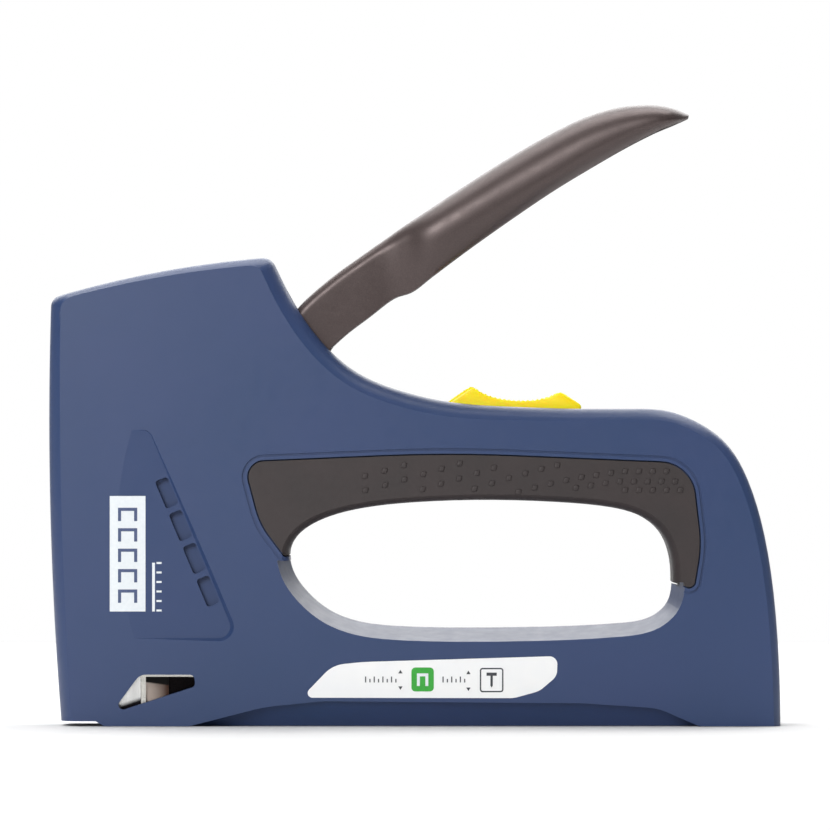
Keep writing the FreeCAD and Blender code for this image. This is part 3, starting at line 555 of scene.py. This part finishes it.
def surface(*names):
    """A tree of the named nodes' triangles, to find a place on their skin."""
    points, faces = [], []
    for name in names:
        mesh = nodes[name].data
        base = len(points)
        points += [v.co.copy() for v in mesh.vertices]
        faces += [[base + index for index in face.vertices] for face in mesh.polygons]
    return BVHTree.FromPolygons(points, faces)


def touch(tree, x, z, side):
    """The skin's place and outward direction at x, z in millimetres on side -1 or +1."""
    start = Vector((x * MM, side * 0.05, z * MM))
    spot, normal, _, _ = tree.ray_cast(start, Vector((0, -side, 0)))
    if spot is None:
        raise RuntimeError(f"nothing to stick to at {x}, {z}")
    return spot, normal if normal.y * side > 0 else -normal


def wall(work, near, far):
    """A closed band of faces between two loops of as many vertices."""
    for index in range(len(near)):
        after = (index + 1) % len(near)
        work.faces.new((near[index], near[after], far[after], far[index]))


# each row's rear stud (x and z) and its number of studs
STUD_ROWS = [(65.5, 62.3, 8), (63.3, 64.9, 11), (66.8, 60.1, 5), (35.5, 66.4, 6),
             (19.4, 65.8, 5), (10.7, 66.9, 6), (-3.5, 66.4, 3)]
# half width and height of each ring round a stud, from its foot up
STUD_STEPS = [(0.74, -0.1), (0.68, 0.18), (0.58, 0.28), (0.3, 0.31)]
STUD_SIDES, STUD_POWER, STUD_SLANT = 16, 6, 0.25
STUD_PITCH, STUD_WIDER = 3.5, 1.6     # the pitch at the rear, and how much it grows
WIDER_FROM, WIDER_RUN = 58, 70        # x where the pitch begins to grow, and over how much
SLOPE_FROM, SLOPE_RUN = 50, 32        # the same for the rows' slope
SLOPE_LEAST, SLOPE_MORE, SLOPE_PITCH = 0.1, 0.27, 3.7


def stud_places():
    """Where the studs stand: rows level at the rear that fall towards the head."""
    places = []
    for x, z, count in STUD_ROWS:
        for _ in range(count):
            places.append((x, z))
            x -= STUD_PITCH + STUD_WIDER * min(max((WIDER_FROM - x) / WIDER_RUN, 0), 1)
            if x <= SLOPE_FROM:
                share = min((SLOPE_FROM - x) / SLOPE_RUN, 1)
                z -= (SLOPE_LEAST + SLOPE_MORE * share) * SLOPE_PITCH
    return places


def add_stud(work, tree, x, z, side):
    """One small raised pad with slanting sides."""
    spot, normal = touch(tree, x, z, side)
    across = Vector((1, 0, 0)).cross(normal).normalized()
    along = normal.cross(across).normalized()
    up = normal.cross(along)
    if up.z < 0:
        up = -up
    rings = []
    for half, height in STUD_STEPS:
        ring = []
        for step in range(STUD_SIDES):
            angle = step / STUD_SIDES * 2 * math.pi
            a, b = math.cos(angle), math.sin(angle)
            flat = half / (abs(a) ** STUD_POWER + abs(b) ** STUD_POWER) ** (1 / STUD_POWER)
            place = along * (flat * a + STUD_SLANT * flat * b) + up * (flat * b)
            ring.append(work.verts.new(spot + (place + normal * height) * MM))
        rings.append(ring)
    for near, far in zip(rings, rings[1:]):
        wall(work, near, far)
    work.faces.new(rings[-1])
    work.faces.new(list(reversed(rings[0])))


def make_studs():
    """The grip's small pads, one mesh for each side."""
    tree = surface("grip_insert")
    for side, word in ((-1, "left"), (1, "right")):
        work = bmesh.new()
        for x, z in stud_places():
            add_stud(work, tree, x, z, side)
        mesh = outward(work, "grip_studs_" + word)
        new_piece(mesh.name, shade(mesh, 50), FINISHES["grip_rubber"], "housing")


# ---------------------------------------------------------------- prints

LEFT = -1                             # the side of the casing that has label and print
PRINT_FOOT = 0.03                     # how far a print reaches under the skin
CELL = 0.6                            # size of the cells of a sheet on an uneven skin
CORNER_STEPS = 6


def rounded_square(box, radius):
    """A closed outline with round corners, from the lower right corner round."""
    left, low, right, high = box
    outline = []
    for corner, (x, z) in enumerate(((right - radius, low + radius),
                                     (right - radius, high - radius),
                                     (left + radius, high - radius),
                                     (left + radius, low + radius))):
        for step in range(CORNER_STEPS + 1):
            angle = (corner - 1 + step / CORNER_STEPS) * math.pi / 2
            outline.append((x + radius * math.cos(angle), z + radius * math.sin(angle)))
    return outline


def lifted(work, tree, x, z, lift):
    """A vertex on the left side's skin, lifted off it by so many millimetres."""
    spot, _ = touch(tree, x, z, LEFT)
    return work.verts.new(spot + Vector((0, LEFT * lift * MM, 0)))


def patch(work, tree, outline, thickness):
    """A thin closed sheet on the skin, filled from its outline."""
    top = [lifted(work, tree, x, z, thickness) for x, z in outline]
    foot = [lifted(work, tree, x, z, -PRINT_FOOT) for x, z in outline]
    work.faces.new(top)
    work.faces.new(list(reversed(foot)))
    wall(work, foot, top)


def frame_strip(work, tree, outer, inner, thickness):
    """A thin closed ring on the skin between two outlines of as many points."""
    loops = []
    for outline, lift in ((outer, thickness), (inner, thickness), (inner, -PRINT_FOOT),
                          (outer, -PRINT_FOOT)):
        loops.append([lifted(work, tree, x, z, lift) for x, z in outline])
    for near, far in zip(loops, loops[1:] + loops[:1]):
        wall(work, near, far)


def sheet_grid(work, tree, box, thickness):
    """A thin closed rectangle on an uneven skin, made of small cells."""
    left, low, right, high = box
    across = max(1, round((right - left) / CELL))
    upwards = max(1, round((high - low) / CELL))
    tall = upwards + 1
    layers = []
    for lift in (thickness, -PRINT_FOOT):
        layer = []
        for column in range(across + 1):
            x = left + (right - left) * column / across
            for row in range(tall):
                z = low + (high - low) * row / upwards
                layer.append(lifted(work, tree, x, z, lift))
        layers.append(layer)
    for layer in layers:
        for column in range(across):
            for row in range(upwards):
                first = column * tall + row
                second = first + tall
                work.faces.new((layer[first], layer[second], layer[second + 1],
                                layer[first + 1]))
    rim = [column * tall for column in range(across + 1)]
    rim += [across * tall + row for row in range(1, tall)]
    rim += [column * tall + upwards for column in range(across - 1, -1, -1)]
    rim += list(range(upwards - 1, 0, -1))
    wall(work, [layers[0][index] for index in rim], [layers[1][index] for index in rim])


def print_piece(name, colour, draw):
    """A piece of print on the casing's left side, drawn by a function."""
    work = bmesh.new()
    draw(work)
    new_piece(name, outward(work, name), INK[colour], "housing")


def staple_glyph(work, tree, box, stroke, thickness):
    """An upright staple: a crown on two legs."""
    left, low, right, high = box
    for part in ((left, high - stroke, right, high), (left, low, left + stroke, high - stroke),
                 (right - stroke, low, right, high - stroke)):
        sheet_grid(work, tree, part, thickness)


def nail_glyph(x, low, high, head, shank):
    """A headed nail, point down."""
    point, head_low = low + 0.5, high - 0.8
    return [(x - shank, point), (x, low), (x + shank, point), (x + shank, head_low),
            (x + head, head_low), (x + head, high), (x - head, high), (x - head, head_low),
            (x - shank, head_low)]


def arrowhead(x, z, way):
    """A small triangle that points up (way 1) or down (way -1)."""
    foot = z - 0.4 * way
    return [(x - 0.55, foot), (x + 0.55, foot), (x, z + 0.5 * way)]


# boxes on the label and panel are left, low, right and high, in millimetres
LABEL_INK, PANEL_INK = 0.035, 0.04
GREEN_FIELD, GREEN_STAPLE = (-1.6, 8.9, 4.1, 15.0), (-0.2, 10.3, 2.7, 13.5)
NAIL_FRAME, NAIL_HOLE = (15.8, 8.7, 21.8, 14.9), (16.15, 9.05, 21.45, 14.55)
ARROWS = [(-4.4, 13.9, 9.8), (12.9, 13.7, 9.5)]       # x, upper and lower height
TICK_ROWS = [(-13.4, 8), (6.3, 6)]                    # first x and number of ticks
TICK_PITCH, TICK_WIDTH, TICK_LOW, TICK_LONG, TICK_SHORT = 1.1, 0.3, 11.2, 1.5, 0.9
PANEL_FIELD = (-78.4, 29.2, -69.3, 58.6)
RULE_LINE, RULE_TICKS, RULE_PITCH = (-67.6, 29.2, -66.9, 41.6), 6, 2.42
RULE_TICK, RULE_TICK_TALL = (-66.5, -65.2), 0.5
COLUMN_SIDES, COLUMN_LOW, COLUMN_PITCH, COLUMN_TALL = (-76.3, -71.4), 31.4, 5.2, 3.4
COLUMN_COUNT, COLUMN_STROKE = 5, 0.8


def make_label_print():
    """Which fastener goes where, as plain pictures: no words."""
    tree = surface("label_left")

    def green(work):
        patch(work, tree, rounded_square(GREEN_FIELD, 1.0), LABEL_INK)

    def staple(work):
        staple_glyph(work, tree, GREEN_STAPLE, 0.75, 2 * LABEL_INK)

    def dark(work):
        frame_strip(work, tree, rounded_square(NAIL_FRAME, 0.7),
                    rounded_square(NAIL_HOLE, 0.4), LABEL_INK)
        patch(work, tree, nail_glyph(18.8, 9.9, 13.7, 1.3, 0.3), LABEL_INK)
        for x, upper, lower in ARROWS:
            patch(work, tree, arrowhead(x, upper, 1), LABEL_INK)
            patch(work, tree, arrowhead(x, lower, -1), LABEL_INK)
        for start, count in TICK_ROWS:
            for index in range(count):
                x = start + index * TICK_PITCH
                high = TICK_LOW + (TICK_SHORT if index % 2 else TICK_LONG)
                patch(work, tree, [(x, TICK_LOW), (x + TICK_WIDTH, TICK_LOW),
                                   (x + TICK_WIDTH, high), (x, high)], LABEL_INK)

    print_piece("label_print_green", "green", green)
    print_piece("label_print_staple", "white", staple)
    print_piece("label_print_dark", "dark", dark)


def make_panel_print():
    """A plain white field with a column of staples, and a short rule beside it."""
    tree = surface("housing_left")

    def white(work):
        sheet_grid(work, tree, PANEL_FIELD, PANEL_INK)
        sheet_grid(work, tree, RULE_LINE, PANEL_INK)
        left, right = RULE_TICK
        for index in range(RULE_TICKS):
            z = RULE_LINE[1] + index * RULE_PITCH
            sheet_grid(work, tree, (left, z, right, z + RULE_TICK_TALL), PANEL_INK)

    def blue(work):
        left, right = COLUMN_SIDES
        for index in range(COLUMN_COUNT):
            low = COLUMN_LOW + index * COLUMN_PITCH
            staple_glyph(work, tree, (left, low, right, low + COLUMN_TALL), COLUMN_STROKE,
                         2 * PANEL_INK)

    print_piece("panel_print_white", "white", white)
    print_piece("panel_print_blue", "blue", blue)


# ---------------------------------------------------------------- studio

FLOOR_RADIUS, FLOOR_DROP = 0.9, 0.0001
SKY_EDGE, SKY_STRENGTH = (0.8, 0.97), (0.22, 1.0)
LAMPS_AIM = (0.0, 0.0, 0.07)
# name, place, width, height and watts
LAMPS = [
    ("overhead_softbox", (0.0, 0.3, 1.3), 1.6, 1.0, 21),
    ("front_softbox", (-0.9, -1.85, 0.95), 0.9, 0.9, 33),
    ("back_softbox", (0.0, 1.5, 1.0), 2.4, 1.0, 20),
]
CAMERA_DISTANCE, SENSOR_WIDTH = 2.5, 36
VIEW_WIDTH = 1.139                    # of the object's length
VIEW_SHIFT = 0.1 * MM


def make_floor():
    """A round sheet of pale paper, a hair under the object."""
    mesh = bpy.data.meshes.new("studio_floor")
    work = bmesh.new()
    bmesh.ops.create_circle(work, cap_ends=True, segments=96, radius=FLOOR_RADIUS)
    work.to_mesh(mesh)
    work.free()
    floor = bpy.data.objects.new("studio_floor", mesh)
    bpy.context.scene.collection.objects.link(floor)
    paper = Finish("studio_paper", (0.74, 0.74, 0.74, 1), 0.8, Specular_IOR_Level=0.1)
    mesh.materials.append(paper.material)
    floor.location.z = -FLOOR_DROP


def make_sky():
    """White behind the object, dim in front, so that the lamps shape the object."""
    world = bpy.data.worlds.new("studio_sky")
    world.use_nodes = True
    bpy.context.scene.world = world
    tree = world.node_tree
    backdrop = tree.nodes["Background"]
    place = tree.nodes.new("ShaderNodeTexCoord")
    split = tree.nodes.new("ShaderNodeSeparateXYZ")
    tree.links.new(place.outputs["Generated"], split.inputs["Vector"])
    strength = ranged(tree, split.outputs["Y"], *SKY_EDGE, *SKY_STRENGTH)
    tree.links.new(strength, backdrop.inputs["Strength"])
    backdrop.inputs["Color"].default_value = (1, 1, 1, 1)


def make_lights():
    """Soft rectangular lights that point at the object."""
    for name, place, width, height, watts in LAMPS:
        data = bpy.data.lights.new(name, "AREA")
        data.shape = "RECTANGLE"
        data.size, data.size_y = width, height
        data.energy = watts
        light = bpy.data.objects.new(name, data)
        bpy.context.scene.collection.objects.link(light)
        light.location = place
        light.visible_camera = False
        ahead = Vector(LAMPS_AIM) - Vector(place)
        light.rotation_euler = ahead.to_track_quat("-Z", "Y").to_euler()


def make_camera():
    """A long lens square to the side of the object."""
    middle = (cad_low + cad_high) / 2
    data = bpy.data.cameras.new("side_camera")
    camera = bpy.data.objects.new("side_camera", data)
    bpy.context.scene.collection.objects.link(camera)
    data.sensor_width = SENSOR_WIDTH
    data.lens = SENSOR_WIDTH * CAMERA_DISTANCE / (VIEW_WIDTH * (cad_high.x - cad_low.x))
    camera.location = (middle.x + VIEW_SHIFT, middle.y - CAMERA_DISTANCE,
                       middle.z - VIEW_SHIFT)
    camera.rotation_euler = (math.radians(90), 0, 0)
    bpy.context.scene.camera = camera
    bpy.context.scene.view_settings.view_transform = "Standard"
    bpy.context.scene.view_settings.look = "None"


finish_nodes()
make_lever()
make_slider()
make_springs()
make_studs()
make_label_print()
make_panel_print()
make_floor()
make_sky()
make_lights()
make_camera()
